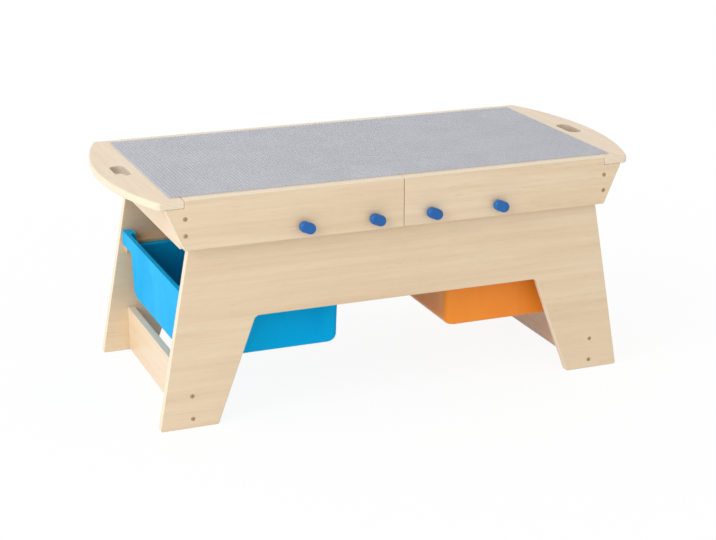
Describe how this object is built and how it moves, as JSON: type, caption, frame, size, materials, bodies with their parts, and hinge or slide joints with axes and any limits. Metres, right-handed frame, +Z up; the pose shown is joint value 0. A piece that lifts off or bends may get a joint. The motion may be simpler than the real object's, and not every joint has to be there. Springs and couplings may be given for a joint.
{
  "type": "children's play table with storage",
  "caption": "Low plywood play table with splayed legs, building-plate top, bowed carrying handles with hand slots, oval knobs, and plastic bins that slide out at the ends.",
  "frame": {"origin": "on the floor under the middle of the table", "axes": "+X along the table to the end with the orange bin, +Y from the front to the back, +Z up"},
  "size_m": [1.1998, 0.6086, 0.5134],
  "materials": {
    "birch_plywood": "clear satin lacquer on birch plywood",
    "plate_grey": "moulded grey plastic, slight gloss",
    "bin_blue": "moulded blue plastic, satin gloss",
    "bin_orange": "moulded orange plastic, satin gloss",
    "knob_blue": "moulded blue plastic",
    "runner_beech": "planed beech",
    "zinc_steel": "zinc plated",
    "screw_brass": "yellow-passivated steel"
  },
  "bodies": {
    "frame": {"leg_panel_front": "birch_plywood", "leg_panel_rear": "birch_plywood", "apron_front_left": "birch_plywood", "apron_front_right": "birch_plywood", "apron_rear_left": "birch_plywood", "apron_rear_right": "birch_plywood", "end_board_left": "birch_plywood", "end_board_right": "birch_plywood", "handle_board_left": "birch_plywood", "handle_board_right": "birch_plywood", "end_stretcher_left": "birch_plywood", "end_stretcher_right": "birch_plywood", "centre_rail": "birch_plywood", "play_board_left": "birch_plywood", "play_board_right": "birch_plywood", "building_plate_1": "plate_grey", "building_plate_2": "plate_grey", "building_plate_3": "plate_grey", "building_plate_4": "plate_grey", "building_plate_5": "plate_grey", "building_plate_6": "plate_grey", "building_plate_7": "plate_grey", "building_plate_8": "plate_grey", "runner_front_left": "runner_beech", "runner_front_right": "runner_beech", "runner_rear_left": "runner_beech", "runner_rear_right": "runner_beech", "tee_nuts": "zinc_steel", "apron_screws": "screw_brass", "stretcher_screws": "screw_brass", "rail_screws": "screw_brass", "runner_screws": "screw_brass", "handle_dowels": "runner_beech"},
    "blue_bin": {"bin_left": "bin_blue"},
    "orange_bin": {"bin_right": "bin_orange"},
    "knob_front_1_body": {"knob_front_1": "knob_blue", "stud_front_1": "zinc_steel"},
    "knob_front_2_body": {"knob_front_2": "knob_blue", "stud_front_2": "zinc_steel"},
    "knob_front_3_body": {"knob_front_3": "knob_blue", "stud_front_3": "zinc_steel"},
    "knob_front_4_body": {"knob_front_4": "knob_blue", "stud_front_4": "zinc_steel"},
    "knob_rear_1_body": {"knob_rear_1": "knob_blue", "stud_rear_1": "zinc_steel"},
    "knob_rear_2_body": {"knob_rear_2": "knob_blue", "stud_rear_2": "zinc_steel"},
    "knob_rear_3_body": {"knob_rear_3": "knob_blue", "stud_rear_3": "zinc_steel"},
    "knob_rear_4_body": {"knob_rear_4": "knob_blue", "stud_rear_4": "zinc_steel"}
  },
  "joints": [
    {"name": "blue_bin_slide", "type": "slide", "parent": "frame", "child": "blue_bin", "axis": [-1, 0, 0], "range_m": [0, 0.3]},
    {"name": "orange_bin_slide", "type": "slide", "parent": "frame", "child": "orange_bin", "axis": [1, 0, 0], "range_m": [-0.014, 0.286]},
    {"name": "knob_front_1_turn", "type": "hinge", "parent": "frame", "child": "knob_front_1_body", "pos_m": [-0.226, -0.284, 0.427], "axis": [0, -1, 0], "continuous": true},
    {"name": "knob_front_2_turn", "type": "hinge", "parent": "frame", "child": "knob_front_2_body", "pos_m": [-0.0665, -0.284, 0.427], "axis": [0, -1, 0], "continuous": true},
    {"name": "knob_front_3_turn", "type": "hinge", "parent": "frame", "child": "knob_front_3_body", "pos_m": [0.0665, -0.284, 0.427], "axis": [0, -1, 0], "continuous": true},
    {"name": "knob_front_4_turn", "type": "hinge", "parent": "frame", "child": "knob_front_4_body", "pos_m": [0.226, -0.284, 0.427], "axis": [0, -1, 0], "continuous": true},
    {"name": "knob_rear_1_turn", "type": "hinge", "parent": "frame", "child": "knob_rear_1_body", "pos_m": [-0.226, 0.284, 0.427], "axis": [0, 1, 0], "continuous": true},
    {"name": "knob_rear_2_turn", "type": "hinge", "parent": "frame", "child": "knob_rear_2_body", "pos_m": [-0.0665, 0.284, 0.427], "axis": [0, 1, 0], "continuous": true},
    {"name": "knob_rear_3_turn", "type": "hinge", "parent": "frame", "child": "knob_rear_3_body", "pos_m": [0.0665, 0.284, 0.427], "axis": [0, 1, 0], "continuous": true},
    {"name": "knob_rear_4_turn", "type": "hinge", "parent": "frame", "child": "knob_rear_4_body", "pos_m": [0.226, 0.284, 0.427], "axis": [0, 1, 0], "continuous": true}
  ]
}
